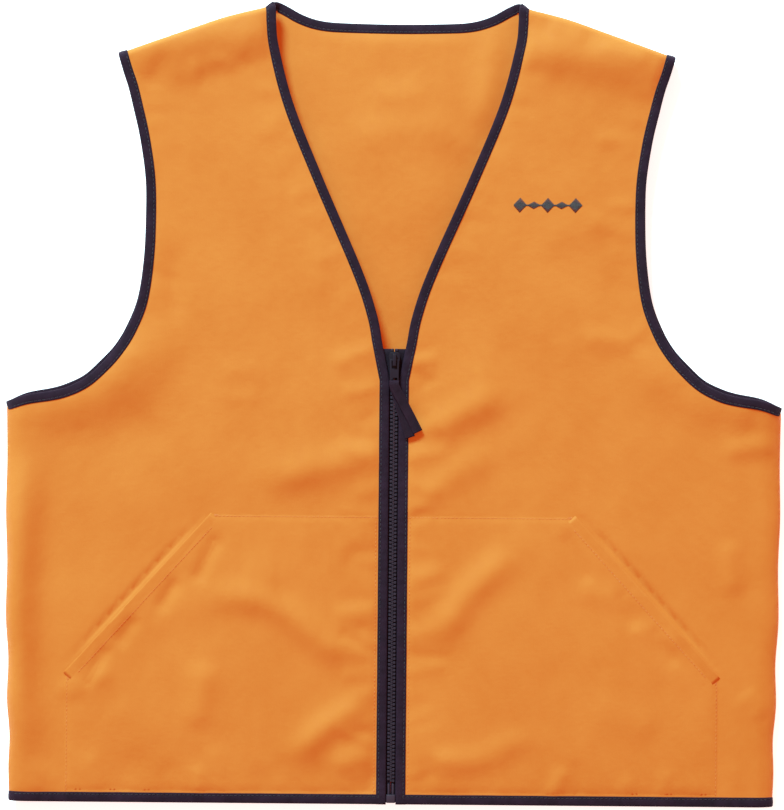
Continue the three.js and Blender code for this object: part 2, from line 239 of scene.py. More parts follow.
# (line, height, half-width): hollows are negative
FRONT_FOLDS = [
    ([(-226, 263), (-194, 274), (-163, 282), (-131, 289), (-106, 293), (-77, 302)], 6.2, 19),
    ([(-182, 257), (-151, 258)], 1.6, 11),
    ([(-133, 267), (-124, 276)], 1.2, 8),
    ([(-155, 263), (-142, 268)], 1.2, 7),
    ([(-192, 253), (-186, 266)], -1.2, 7),
    ([(81, 278), (104, 276), (128, 277), (160, 272), (199, 265), (230, 257)], 6.2, 18),
    ([(116, 300), (152, 288)], 1.8, 10),
    ([(167, 280), (191, 274)], 1.4, 8),
    ([(-113, -68), (-89, -60), (-58, -52), (-15, -39), (2, -36)], 3.9, 14),
    ([(-113, -42), (-50, -38)], 1.6, 22),
    ([(-39, 33), (-15, 40)], 2.0, 8),
    ([(-35, 8), (-14, 11)], 1.2, 6),
    ([(12, 32), (28, 35)], 1.6, 7),
    ([(22, -34), (44, -13), (68, -1), (94, 6)], 4.6, 14),
    ([(23, 12), (87, 22)], 1.4, 16),
    ([(15, -83), (41, -62), (66, -46), (84, -35)], 2.0, 12),
    ([(-184, -7), (-211, -31), (-239, -43)], -1.8, 26),
    (
        [(-283, -20), (-289, -56), (-292, -103), (-294, -158), (-293, -221), (-289, -268), (-280, -315)],
        8.0, 18,
    ),
    ([(-270, -32), (-276, -95), (-279, -158), (-278, -221), (-271, -276)], -2.6, 14),
    ([(268, -35), (292, -32)], 1.8, 8),
    ([(263, -102), (269, -153)], 2.0, 9),
    ([(-154, -157), (-120, -154), (-84, -165), (-53, -190), (-29, -195), (-13, -187)], 3.8, 12),
    ([(-120, -139), (-87, -136)], 2.0, 17),
    ([(-147, -200), (-153, -263)], 2.4, 11),
    ([(-82, -286), (-56, -259), (-36, -246), (-12, -234)], 4.2, 11),
    ([(-49, -288), (-13, -275)], 2.0, 9),
    ([(-37, -167), (-14, -163)], 1.2, 8),
    ([(25, -188), (43, -174), (60, -151), (82, -129), (102, -114)], 3.9, 12),
    ([(155, -148), (183, -154)], 1.1, 9),
    ([(195, -176), (220, -185)], 1.1, 8),
    ([(13, -275), (62, -282), (93, -268), (121, -263)], 2.1, 10),
    ([(12, -147), (31, -133)], 1.4, 9),
    ([(-253, -228), (-229, -217)], 1.4, 8),
    ([(165, 208), (185, 202)], 1.3, 7),
    ([(159, 143), (183, 134)], 0.9, 8),
    ([(129, 133), (153, 141)], 1.0, 14),
    ([(158, 52), (179, 49)], 1.4, 8),
    ([(-176, 126), (-172, 55)], -1.8, 9),
    ([(-143, 23), (-99, 25)], 0.7, 9),
    ([(-141, 4), (-101, 3)], 0.6, 7),
    ([(-61, 135), (-57, 72)], 0.9, 8),
    ([(156, -232), (211, -260)], 1.2, 16),
    ([(-221, -236), (-182, -275)], 1.0, 18),
    ([(274, -224), (294, -247)], 1.4, 10),
]
# swells that lift a bound edge with the cloth
EDGE_FOLDS = [
    ([(-173, 59), (-192, 38), (-217, 16), (-243, 3), (-278, -4), (-325, -9)], 5.0, 22),
    ([(181, 59), (195, 43), (215, 21), (244, 6), (280, -2), (319, -6)], 4.2, 20),
]
POCKET_FOLDS = [
    ([(-140, -112), (-152, -137)], -1.8, 5.5),
    ([(-168, -137), (-185, -169)], -2.0, 5.5),
    ([(-200, -168), (-217, -195)], -2.0, 5.5),
    ([(-226, -199), (-239, -221)], -1.7, 5.0),
    ([(138, -108), (152, -134)], -1.2, 5.5),
    ([(180, -152), (190, -172)], -1.4, 5.0),
    ([(208, -180), (220, -200)], -1.4, 5.0),
]
BACK_FOLDS = [
    ([(-9, 242), (10, 244)], 1.8, 12),
    ([(-17, 214), (1, 216)], 1.2, 13),
    ([(30, 216), (48, 207)], 1.4, 13),
    ([(-102, 296), (-98, 245), (-85, 198)], 3.6, 13),
    ([(75, 301), (73, 254), (61, 207)], 3.0, 12),
]
SLOW_WAVES, QUICK_WAVES, BACK_WAVES = waves(3, 95), waves(5, 30), waves(7, 80)
GATHER_PHASE = waves(9, 45)
FRONT_Z, BACK_Z = 14.4, 1.35
SEAM_Z = 7.1                   # where front and back meet at the sides and shoulders
SEAM_HALF_GAP = 0.35
SIDE_ROLL, SHOULDER_ROLL = 16, 4.5      # how far from a seam the cloth has risen in full
NECK_SWELL = 5.0               # how far the back rises into the neck opening


FOLD_STEP, FOLD_REACH = 6, 3   # mm between points, and widths to where a fold has died away
SHORT_FOLD = 30                # mm: a longer fold fades towards its ends
FADE, FOOT = 0.3, 0.15         # the share of its length it fades over, and what is left of its height


def halved(points):
    """The points, with those of the -x half mirrored onto the +x half."""
    return np.abs(points) * [1, 0] + points * [0, 1]


def folds(points, lines):
    """The height that a list of folds adds at each point."""
    total = np.zeros(len(points))
    for line, height, width in lines:
        line = spline(line, FOLD_STEP) if len(line) > 2 else np.asarray(line, float)
        reach = FOLD_REACH * width
        near = np.all((points > line.min(0) - reach) & (points < line.max(0) + reach), axis=1)
        if not near.any():
            continue
        length = np.linalg.norm(np.diff(line, axis=0), axis=1).sum()
        distance, position = along(points[near], line)
        if length > SHORT_FOLD:
            ends = np.minimum(position, length - position) / (FADE * length)
        else:
            ends = np.ones(len(position))
        total[near] += height * np.exp(-((distance / width) ** 2)) * (FOOT + (1 - FOOT) * smooth(ends))
    return total


def roll(distance, radius):
    """0 at a seam, rising as a quarter ellipse to 1 at the radius."""
    t = np.clip(distance / radius, 0, 1)
    return np.sqrt(1 - (1 - t) ** 2)


def seam_roll(half):
    side, _ = along(half, SIDE_FOLD)
    shoulder, _ = along(half, SHOULDER_FOLD)
    return roll(side, SIDE_ROLL) * roll(shoulder, SHOULDER_ROLL)


FRONT_HEM = np.array([[ZIP_EDGE_X, HEM_Y], [HEM_END_X, HEM_Y]])
FRONT_BOUND = [resample(line, 7) for line in (FRONT_EDGE, ARMHOLE_FRONT, FRONT_HEM)]


PUCKER_START = 7               # mm in from the bound edge


def puckers(seed, line, spacing, reach, height, width):
    """Short uneven gathers beside a sewn tape, on both halves of the front."""
    rng = np.random.default_rng(seed)
    line = resample(line, 1)
    normal = left_normal(line)
    made = []
    for sign in (1, -1):
        at = spacing * 0.6
        while at < len(line) - spacing * 0.4:
            i = int(at)
            angle = rng.uniform(-0.5, 0.5)
            turn = np.array([[math.cos(angle), -math.sin(angle)], [math.sin(angle), math.cos(angle)]])
            start = line[i] + normal[i] * PUCKER_START
            end = start + turn @ normal[i] * reach * rng.uniform(0.5, 1.5)
            size = height * rng.uniform(0.35, 1.0) * rng.choice([-1, 1])
            made.append(([start * [sign, 1], end * [sign, 1]], size, width * rng.uniform(0.75, 1.3)))
            at += spacing * rng.uniform(0.6, 1.5)
    return made


ZIP_RUN = FRONT_EDGE[FRONT_EDGE[:, 1] < 50]
NECK_RUN = FRONT_EDGE[FRONT_EDGE[:, 1] > 60]
FRONT_FOLDS += puckers(31, ZIP_RUN, 19, 22, 1.1, 5.5)
FRONT_FOLDS += puckers(32, NECK_RUN, 27, 14, 0.7, 6.0)
FRONT_FOLDS += puckers(33, ARMHOLE_FRONT, 30, 15, 0.8, 6.5)
FRONT_FOLDS += puckers(34, FRONT_BOUND[2], 26, 20, 1.5, 7.0)


def front_height(points):
    points = np.asarray(points, float)[:, :2]
    half = halved(points)
    to_tape = np.min([along(half, line)[0] for line in FRONT_BOUND], axis=0)
    calm = 0.1 + 0.9 * smooth((to_tape - 3) / 10)      # a sewn tape holds the cloth flat
    relief = folds(points, FRONT_FOLDS) + 0.36 * SLOW_WAVES(points) + 0.07 * QUICK_WAVES(points)
    swells = folds(points, EDGE_FOLDS)
    rolled = seam_roll(half)
    low = SEAM_Z + SEAM_HALF_GAP
    return low + (FRONT_Z - low) * rolled + (relief * calm + swells) * smooth(rolled)


def back_height(points):
    points = np.asarray(points, float)[:, :2]
    half = halved(points)
    relief = np.maximum(folds(points, BACK_FOLDS) + 0.35 * (1 + BACK_WAVES(points)), -0.2)
    relief += NECK_SWELL * np.exp(-((points[:, 0] / 75) ** 2) - ((points[:, 1] - 200) / 110) ** 2)
    rolled = seam_roll(half)
    high = SEAM_Z - SEAM_HALF_GAP
    neck, _ = along(half, NECK)
    return high + (BACK_Z - high) * rolled + relief * smooth(rolled) * smooth(neck / 15)


POCKET = np.array([[11.25, -307.5], [258, -307.5], [257.8, -214.5], [143, -88], [11.25, -88]])
POCKET_FOOT, POCKET_OUTER, MOUTH_LOWER, MOUTH_UPPER, POCKET_INNER = POCKET
MOUTH = resample([MOUTH_LOWER, MOUTH_UPPER], 2.5)
MOUTH_LENGTH = 170
# the front sinks a little where it looks out of each pocket's mouth
MOUTH_HOLLOW = [
    ([(sign * 255.8, -206.6), (sign * 149.8, -89.6)], depth, 2.3) for sign, depth in ((1, -2.6), (-1, -1.5))
]
POCKET_SEWN = resample([MOUTH_UPPER, POCKET_INNER, POCKET_FOOT, POCKET_OUTER, MOUTH_LOWER], 3)
POCKET_SINK = 0.12             # how far the pocket's sewn edges sink into the front


def pocket_height(points):
    points = np.asarray(points, float)[:, :2]
    half = halved(points)
    sewn, _ = along(half, POCKET_SEWN)
    mouth, position = along(half, MOUTH)
    gape = np.sin(np.clip(position / MOUTH_LENGTH, 0, 1) * math.pi)
    lift = 0.62 * smooth(sewn / 6) - POCKET_SINK + 1.6 * (1 - np.exp(-sewn / 30))
    lift += 0.6 * gape * np.exp(-mouth / 14)
    gathers = np.sin((points[:, 0] + 0.7 * points[:, 1]) * TAU / 14 + 2 * GATHER_PHASE(points * 1.3))
    lift += 0.15 * gathers * np.exp(-((sewn - 7) / 4) ** 2)
    lift += folds(points, POCKET_FOLDS) * smooth(mouth / 6)
    return front_height(points) + np.maximum(lift, -POCKET_SINK)


# ---------------------------------------------------------------- mesh making


def outward(verts, faces):
    """The faces, turned so that they look out of the closed body."""
    volume = 0.0
    for face in faces:
        a = verts[face[0]]
        for i in range(1, len(face) - 1):
            volume += float(np.dot(a, np.cross(verts[face[i]], verts[face[i + 1]])))
    return faces if volume > 0 else [tuple(reversed(f)) for f in faces]


def make(name, verts, faces, look, uv=None):
    """A mesh object from points in millimetres. uv is one pair for each vertex, in metres of cloth."""
    mesh = bpy.data.meshes.new(name)
    mesh.from_pydata((np.asarray(verts) * MM).tolist(), [], [tuple(map(int, f)) for f in faces])
    mesh.shade_smooth()
    if uv is not None:
        layer = mesh.uv_layers.new(name="cloth")
        index = np.zeros(len(mesh.loops), int)
        mesh.loops.foreach_get("vertex_index", index)
        layer.data.foreach_set("uv", np.asarray(uv, np.float32)[index].ravel())
    mesh.materials.append(look)
    mesh.validate()
    obj = bpy.data.objects.new(name, mesh)
    bpy.context.scene.collection.objects.link(obj)
    return obj


def joined(parts):
    """One (verts, faces, uv) from several."""
    verts, faces, uvs, base = [], [], [], 0
    for part in parts:
        verts.append(part[0])
        faces += [tuple(i + base for i in f) for f in part[1]]
        uvs.append(part[2])
        base += len(part[0])
    return np.vstack(verts), faces, np.vstack(uvs)


def inside(points, loop):
    """Which points lie within a closed loop."""
    x, y = points[:, :1], points[:, 1:2]
    x0, y0 = loop[:, 0], loop[:, 1]
    x1, y1 = np.roll(x0, -1), np.roll(y0, -1)
    crosses = (y0 > y) != (y1 > y)
    slope = (x1 - x0) / np.where(y1 == y0, TINY, y1 - y0)
    return ((crosses & (x < x0 + (y - y0) * slope)).sum(1) % 2) == 1


EDGE_SHARE, ROW_SHARE, EDGE_GAP = 0.55, 0.45, 0.3      # how near to an edge or row other points come


def triangulated(loop, pitch, rows):
    """Points and triangles that fill a loop. rows are extra lines of points, for tight curves."""
    lo, hi = loop.min(0), loop.max(0)
    xs = np.arange(lo[0], hi[0], pitch)
    ys = np.arange(lo[1], hi[1], pitch * math.sqrt(3) / 2)
    grid = np.array([(x + (pitch / 2 if j % 2 else 0), y) for j, y in enumerate(ys) for x in xs])
    closed = np.vstack([loop, loop[:1]])
    keep = inside(grid, loop) & (along(grid, closed)[0] > EDGE_SHARE * pitch)
    for row in rows:
        keep &= along(grid, row)[0] > ROW_SHARE * pitch
    extra = [row[inside(row, loop) & (along(row, closed)[0] > EDGE_GAP)] for row in rows]
    points = np.vstack([loop, grid[keep], *extra])
    found = geometry.delaunay_2d_cdt(
        [Vector(p) for p in points.tolist()], [], [list(range(len(loop)))], 1, 1e-4, False
    )
    flat, faces = np.array([tuple(v) for v in found[0]]), np.array([f[:3] for f in found[2]])
    return flat, [tuple(f) for f in faces[inside(flat[faces].mean(1), loop)].tolist()]


def cloth_solid(points, faces, height):
    """A closed thin sheet over the points, with the given height above each."""
    mid = np.column_stack([points, height])
    tri = np.array([f[:3] for f in faces])
    cross = np.cross(mid[tri[:, 1]] - mid[tri[:, 0]], mid[tri[:, 2]] - mid[tri[:, 0]])
    normal = np.zeros_like(mid)
    for i in range(3):
        np.add.at(normal, tri[:, i], cross)
    normal = unit(normal)
    n = len(mid)
    verts = np.vstack([mid + normal * CLOTH / 2, mid - normal * CLOTH / 2])
    edges = {}
    for f in faces:
        for a, b in zip(f, f[1:] + f[:1]):
            edges[(a, b)] = True
    rim = [(b, a, a + n, b + n) for a, b in edges if (b, a) not in edges]
    solid = list(faces) + [tuple(i + n for i in reversed(f)) for f in faces] + rim
    return verts, outward(verts, solid), np.vstack([points, points]) * MM


def bar_faces(rings, sides):
    """The side faces and the two caps of a bar that is made of rings of points."""
    faces = []
    for i in range(rings - 1):
        for j in range(sides):
            k = (j + 1) % sides
            faces.append((i * sides + j, i * sides + k, (i + 1) * sides + k, (i + 1) * sides + j))
    return faces + [tuple(reversed(range(sides))), tuple((rings - 1) * sides + j for j in range(sides))]


def swept(path, across, profile, keep_up=True):
    """A closed bar: the profile's first coordinate runs along across, its second along the path's up side.

    With keep_up, the up side never looks down.
    """
    path, across = np.asarray(path, float), unit(np.asarray(across, float))
    tangent = unit(np.gradient(path, axis=0))
    up = unit(np.cross(tangent, across))
    if keep_up:
        up *= np.where(up[:, 2:] < 0, -1, 1)
    profile = np.asarray(profile, float)
    n, m = len(path), len(profile)
    rings = path[:, None] + across[:, None] * profile[None, :, :1] + up[:, None] * profile[None, :, 1:]
    verts = rings.reshape(-1, 3)
    run = np.r_[0, np.cumsum(np.linalg.norm(np.diff(path, axis=0), axis=1))]
    uv = np.column_stack([np.repeat(run, m), np.tile(profile[:, 0], n)]) * MM
    return verts, outward(verts, bar_faces(n, m)), uv


STRAND_SIDES = 6


def strand(start, end, radius, arch, rings=4, flat=1.0):
    """One stitch of thread, with rounded ends that sink into the cloth.

    flat is its height as a share of its width.
    """
    start, end = np.array(start, float), np.array(end, float)
    t = np.linspace(0, 1, rings)
    axis = end - start
    side = unit(np.cross(axis, (0.0, 0.0, 1.0)))
    lift = unit(np.cross(side, axis))
    swell = np.sin(np.clip(t, 0.12, 0.88) * math.pi) ** 0.5
    angles = np.arange(STRAND_SIDES) * TAU / STRAND_SIDES
    verts = []
    for ti, r in zip(t, swell):
        centre = start + axis * ti + lift * arch * math.sin(ti * math.pi)
        verts += [centre + radius * r * (math.cos(a) * side + flat * math.sin(a) * lift) for a in angles]
    verts = np.array(verts)
    length = float(np.linalg.norm(axis))
    uv = np.column_stack([np.repeat(t * length, STRAND_SIDES), np.tile(angles * radius, rings)]) * MM
    return verts, outward(verts, bar_faces(rings, STRAND_SIDES)), uv


STITCH_ARCH = 0.12


def stitches(line, length=2.5, pitch=3.4, radius=0.24):
    """A row of stitches along a 3-D line."""
    line = resample(line, pitch)
    parts = []
    for a, b in zip(line[:-1], line[1:]):
        middle, half = (a + b) / 2, (b - a) / max(np.linalg.norm(b - a), TINY) * length / 2
        parts.append(strand(middle - half, middle + half, radius, STITCH_ARCH))
    return joined(parts)


# ---------------------------------------------------------------- materials


class Nodes:
    """Short names for building one material's nodes."""

    def __init__(self, name):
        self.material = bpy.data.materials.new(name)
        self.material.use_nodes = True
        self.tree = self.material.node_tree
        self.shader = self.tree.nodes["Principled BSDF"]

    def node(self, kind, settings=None, **inputs):
        made = self.tree.nodes.new(kind)
        for key, value in (settings or {}).items():
            setattr(made, key, value)
        for key, value in inputs.items():
            self.put(made.inputs[key.replace("_", " ")], value)
        return made

    def put(self, socket, value):
        if isinstance(value, bpy.types.NodeSocket):
            self.tree.links.new(value, socket)
        else:
            socket.default_value = value

    def math(self, operation, a, b=0.0):
        made = self.tree.nodes.new("ShaderNodeMath")
        made.operation = operation
        self.put(made.inputs[0], a)
        self.put(made.inputs[1], b)
        return made.outputs[0]

    def mix(self, factor, a, b):
        made = self.tree.nodes.new("ShaderNodeMix")
        made.data_type = "RGBA"
        self.put(made.inputs["Factor"], factor)
        self.put(made.inputs["A"], a)
        self.put(made.inputs["B"], b)
        return made.outputs["Result"]

    def noise(self, vector, scale, detail=3.0, roughness=0.55):
        made = self.node("ShaderNodeTexNoise", Scale=scale, Detail=detail, Roughness=roughness)
        self.put(made.inputs["Vector"], vector)
        return made.outputs["Fac"]

    def level(self, value, low, high, out_low=0.0, out_high=1.0):
        made = self.tree.nodes.new("ShaderNodeMapRange")
        for index, item in enumerate((value, low, high, out_low, out_high)):
            self.put(made.inputs[index], item)
        return made.outputs[0]

    def uv(self):
        source = self.node("ShaderNodeUVMap", {"uv_map": "cloth"}).outputs["UV"]
        split = self.tree.nodes.new("ShaderNodeSeparateXYZ")
        self.put(split.inputs[0], source)
        return source, split.outputs[0], split.outputs[1]

    def stretched(self, vector, x, y):
        made = self.tree.nodes.new("ShaderNodeMapping")
        self.put(made.inputs["Vector"], vector)
        made.inputs["Scale"].default_value = (x, y, 1)
        return made.outputs["Vector"]

    def bump(self, height, distance, strength, normal=None):
        made = self.node("ShaderNodeBump", Strength=strength, Distance=distance, Height=height)
        if normal is not None:
            self.put(made.inputs["Normal"], normal)
        return made.outputs["Normal"]

    def finish(self, colour, rough, normal, specular, sheen=0.0, tint=(1, 1, 1, 1)):
        self.put(self.shader.inputs["Base Color"], colour)
        self.put(self.shader.inputs["Roughness"], rough)
        self.put(self.shader.inputs["Normal"], normal)
        self.shader.inputs["Sheen Weight"].default_value = sheen
        self.shader.inputs["Sheen Roughness"].default_value = 0.5
        self.shader.inputs["Sheen Tint"].default_value = tint
        self.shader.inputs["Specular IOR Level"].default_value = specular
        return self.material


PAINTED_GLOW, PAINTED_GLOW_STRENGTH = (1.0, 0.05, 0.0, 1), 0.33    # painted glow: a constant emission standing in for the dye's fluorescence, so the cloth stays red where it is in shade
CLOTH_PITCH, TAPE_PITCH, TAPE_THREAD_PITCH, PLY_PITCH = 0.00072, 0.0009, 0.00045, 0.00055      # metres
TAPE_BUMP = 0.00009


def plain_weave(n, u, v, pitch):
    """Over-and-under relief of two crossing sets of threads."""
    over_u = n.math("SINE", n.math("MULTIPLY", u, TAU / pitch))
    over_v = n.math("SINE", n.math("MULTIPLY", v, TAU / pitch))
    return n.math("MULTIPLY", over_u, over_v)


def orange_cloth():
    n = Nodes("orange_cloth")
    vector, u, v = n.uv()
    weave = plain_weave(n, u, v, CLOTH_PITCH)
    warp = n.noise(n.stretched(vector, 2600, 60), 1, 2)
    weft = n.noise(n.stretched(vector, 60, 2600), 1, 2)
    threads = n.math("ADD", warp, weft)
    cloudy = n.noise(vector, 16, 4, 0.6)
    mottled = n.noise(vector, 130, 3, 0.6)
    base = n.mix(n.level(cloudy, 0.3, 0.7), (0.345, 0.162, 0.021, 1), (0.385, 0.195, 0.030, 1))
    base = n.mix(n.level(mottled, 0.35, 0.75, 0.0, 0.16), base, (0.41, 0.235, 0.048, 1))
    base = n.mix(n.level(threads, 0.75, 1.3, 0.0, 0.14), base, (0.31, 0.122, 0.012, 1))
    # painted shade: the weave's hollows, where its threads dip, are darker
    base = n.mix(n.level(weave, -1, 1, 0.10, 0.0), base, (0.27, 0.090, 0.008, 1))
    relief = n.math("ADD", n.math("MULTIPLY", weave, 0.5), n.math("MULTIPLY", threads, 0.9))
    normal = n.bump(relief, 0.00006, 0.8)
    normal = n.bump(mottled, 0.0007, 0.35, normal)
    rough = n.level(mottled, 0.3, 0.7, 0.66, 0.8)
    # painted glow, so the cloth keeps its red in shade
    n.shader.inputs["Emission Color"].default_value = PAINTED_GLOW
    n.shader.inputs["Emission Strength"].default_value = PAINTED_GLOW_STRENGTH
    return n.finish(base, rough, normal, 0.2, 0.06, (1.0, 0.65, 0.35, 1))


def tape_cloth(name, dark, light, rib_shade, pitch=TAPE_PITCH):
    """Ribbed woven tape: ribs cross its width, with fine threads along it."""
    n = Nodes(name)
    vector, u, v = n.uv()
    rib = n.math("SINE", n.math("MULTIPLY", u, TAU / pitch))
    fine = n.math("SINE", n.math("MULTIPLY", v, TAU / TAPE_THREAD_PITCH))
    fuzz = n.noise(n.stretched(vector, 900, 2200), 1, 3)
    patchy = n.noise(vector, 90, 3)
    worn = n.level(n.node("ShaderNodeNewGeometry").outputs["Pointiness"], 0.5, 0.56, 0, 0.35)
    base = n.mix(n.level(patchy, 0.3, 0.7), dark, light)
    # painted shade in the troughs between the ribs
    base = n.mix(n.level(rib, -1, 1, 0.38, 0.0), base, rib_shade)
    base = n.mix(n.level(fuzz, 0.45, 0.8, 0.0, 0.5), base, light)
    base = n.mix(worn, base, light)
    relief = n.math("ADD", rib, n.math("MULTIPLY", fine, 0.35))
    relief = n.math("ADD", relief, n.math("MULTIPLY", fuzz, 1.6))
    normal = n.bump(relief, TAPE_BUMP, 0.9)
    return n.finish(base, n.level(fuzz, 0.3, 0.8, 0.62, 0.82), normal, 0.1, 0.05, (0.9, 0.4, 0.8, 1))


def thread(name, dark, light, painted_glow=0.0):
    """Two-ply sewing thread with a slanting twist."""
    n = Nodes(name)
    vector, u, v = n.uv()
    slanting = n.math("ADD", u, n.math("MULTIPLY", v, 0.9))
    ply = n.math("SINE", n.math("MULTIPLY", slanting, TAU / PLY_PITCH))
    fuzz = n.noise(n.stretched(vector, 1500, 4000), 1, 2)
    # painted shade in the grooves between the plies, and painted light on their crests
    base = n.mix(n.level(ply, -1, 1), dark, light)
    base = n.mix(n.level(fuzz, 0.4, 0.8, 0, 0.4), base, light)
    # painted glow, so the orange thread keeps its red in shade
    n.shader.inputs["Emission Color"].default_value = PAINTED_GLOW
    n.shader.inputs["Emission Strength"].default_value = painted_glow
    return n.finish(base, n.level(fuzz, 0.3, 0.7, 0.45, 0.65), n.bump(ply, 0.00005, 0.9), 0.4, 0.2)


def moulded(name, dark, light, rough_low, rough_high, specular=0.3, grain=700.0):
    """Hard parts: fine grain, rubbed edges and small scratches."""
    n = Nodes(name)
    place = n.node("ShaderNodeTexCoord").outputs["Object"]
    grainy = n.noise(place, grain, 3)
    cloud = n.noise(place, 160, 3)
    scratch = n.noise(n.stretched(place, 2500, 120), 1, 2)
    rubbed = n.level(n.node("ShaderNodeNewGeometry").outputs["Pointiness"], 0.5, 0.58, 0, 0.6)
    base = n.mix(n.level(cloud, 0.3, 0.7), dark, light)
    base = n.mix(rubbed, base, tuple(min(1, c * 2.4) for c in light[:3]) + (1,))
    relief = n.math("ADD", grainy, n.math("MULTIPLY", scratch, 0.4))
    rough = n.level(scratch, 0.3, 0.75, rough_low, rough_high)
    return n.finish(base, rough, n.bump(relief, 0.00003, 0.7), specular)


FLOOR_GLOW = 0.74


def floor_look():
    """A pale studio table that glows, so that shadows on it stay faint."""
    n = Nodes("floor")
    place = n.node("ShaderNodeTexCoord").outputs["Object"]
    fine = n.noise(place, 400, 3)
    base = n.mix(n.level(fine, 0.3, 0.7), (0.95, 0.95, 0.95, 1), (0.97, 0.97, 0.97, 1))
    n.shader.inputs["Emission Color"].default_value = (1, 1, 1, 1)
    n.shader.inputs["Emission Strength"].default_value = FLOOR_GLOW
    return n.finish(base, 0.9, n.bump(fine, 0.00002, 0.3), 0.1)


ORANGE = orange_cloth()
ORANGE_THREAD = thread("orange_thread", (0.36, 0.165, 0.020, 1), (0.46, 0.22, 0.032, 1), PAINTED_GLOW_STRENGTH)
TAPE = tape_cloth(
    "black_binding", (0.0145, 0.0064, 0.0125, 1), (0.031, 0.013, 0.027, 1), (0.0045, 0.002, 0.004, 1)
)
DARK_THREAD = thread("dark_thread", (0.014, 0.008, 0.013, 1), (0.032, 0.020, 0.032, 1))
EMBLEM_THREAD = thread("emblem_thread", (0.020, 0.011, 0.012, 1), (0.055, 0.034, 0.036, 1))
ZIP_WEB = tape_cloth(
    "zip_tape", (0.010, 0.004, 0.008, 1), (0.020, 0.009, 0.016, 1), (0.004, 0.002, 0.003, 1), 0.0007
)
TEETH = moulded("zip_teeth", (0.011, 0.007, 0.011, 1), (0.021, 0.014, 0.021, 1), 0.42, 0.56, 0.2)
RESIN = moulded("black_resin", (0.011, 0.006, 0.010, 1), (0.022, 0.013, 0.021, 1), 0.42, 0.58)
METAL = moulded("black_metal", (0.0055, 0.003, 0.0055, 1), (0.010, 0.006, 0.010, 1), 0.42, 0.56, 0.16, 500.0)
RIBBON = tape_cloth(
    "ribbon", (0.013, 0.005, 0.010, 1), (0.030, 0.011, 0.022, 1), (0.004, 0.003, 0.005, 1), 0.0008
)
FLOOR = floor_look()

# ---------------------------------------------------------------- shared placing

SIDES = {"left": 1, "right": -1}


def on_flap(obj):
    """The piece's placing, baked into its mesh; it is not bent or joined to a flap."""
    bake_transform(obj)


def flipped(points, faces, sign):
    """The points and faces, mirrored for the right half."""
    if sign > 0:
        return points, faces
    return points * [-1, 1], [tuple(reversed(f)) for f in faces]


# ---------------------------------------------------------------- cloth panels

CLOTH_FOOT = HEM_Y + CLOTH_INSET
HEM_LINE = resample([[ZIP_EDGE_X + CLOTH_INSET, CLOTH_FOOT], [HEM_END_X, CLOTH_FOOT]], 3.2)
SIDE_CLOTH = resample(SIDE[(SIDE[:, 1] > HEM_Y + 3) & (SIDE[:, 1] < -5)], 3.2)
FRONT_LOOP = np.vstack([
    HEM_LINE,
    SIDE_CLOTH,
    resample(offset(ARMHOLE_FRONT, CLOTH_INSET), 3.0)[1:],
    resample(SHOULDER, 3.0)[1:],
    resample(offset(FRONT_EDGE, CLOTH_INSET), 3.0)[2:-1],
])
NECK_LOOP = resample(offset(NECK, CLOTH_INSET), 3.0)[2:-2]
BACK_HALF = np.vstack([
    SIDE_CLOTH,
    resample(offset(ARMHOLE_BACK, CLOTH_INSET), 3.0)[1:],
    resample(SHOULDER, 3.0)[1:-1],
])
BACK_LOOP = np.vstack([
    resample([[-HEM_END_X, CLOTH_FOOT], [HEM_END_X, CLOTH_FOOT]], 4),
    BACK_HALF,
    NECK_LOOP,
    mirror(BACK_HALF)[::-1],
])
# extra rows of points beside the seams and the pocket's mouth, where the cloth curves tightly
ROLL_ROWS = [offset(SIDE, d) for d in (0.7, 1.8, 3.6, 6.2)]
ROLL_ROWS += [offset(SHOULDER, d) for d in (0.5, 1.2, 2.2, 3.6, 5.4)]
MOUTH_ROWS = [offset(MOUTH, d) for d in (1.2, 0.0, -1.2, -2.4, -3.8)]
FRONT_PITCH, BACK_PITCH = 3.4, 4.6


def front_panels():
    points, faces = triangulated(FRONT_LOOP, FRONT_PITCH, ROLL_ROWS + MOUTH_ROWS)
    for side, sign in SIDES.items():
        p, f = flipped(points, faces, sign)
        verts, solid, uv = cloth_solid(p, f, front_height(p) + folds(p, MOUTH_HOLLOW))
        obj = make(f"front_cloth_{side}", verts, solid, ORANGE, uv)
        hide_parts(f"front_panel_{side}", f"front_yoke_{side}")
        on_flap(obj)


def back_panel():
    rows = ROLL_ROWS + [mirror(row) for row in ROLL_ROWS]
    points, faces = triangulated(BACK_LOOP, BACK_PITCH, rows)
    verts, solid, uv = cloth_solid(points, faces, back_height(points))
    obj = make("back_cloth", verts, solid, ORANGE, uv)
    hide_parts("back_panel")
    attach(obj, "vest_body")


WELT = [(0.45 * math.cos(a), 0.55 * math.sin(a)) for a in np.arange(8) * TAU / 8]
WELT_INSET = 0.35


def seam_welts():
    """The narrow folded seam that joins front and back at the sides and shoulders."""
    for side, sign in SIDES.items():
        for label, line in (("side", SIDE), ("shoulder", SHOULDER)):
            line = offset(resample(line, 3), WELT_INSET) * [sign, 1]
            path = np.column_stack([line, np.full(len(line), SEAM_Z)])
            across = np.column_stack([left_normal(line) * sign, np.zeros(len(line))])
            verts, faces, uv = swept(path, across, WELT)
            obj = make(f"{label}_seam_welt_{side}", verts, faces, ORANGE, uv)
            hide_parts(f"{label}_seam_{side}")
            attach(obj, "vest_body")


# ---------------------------------------------------------------- bound edges

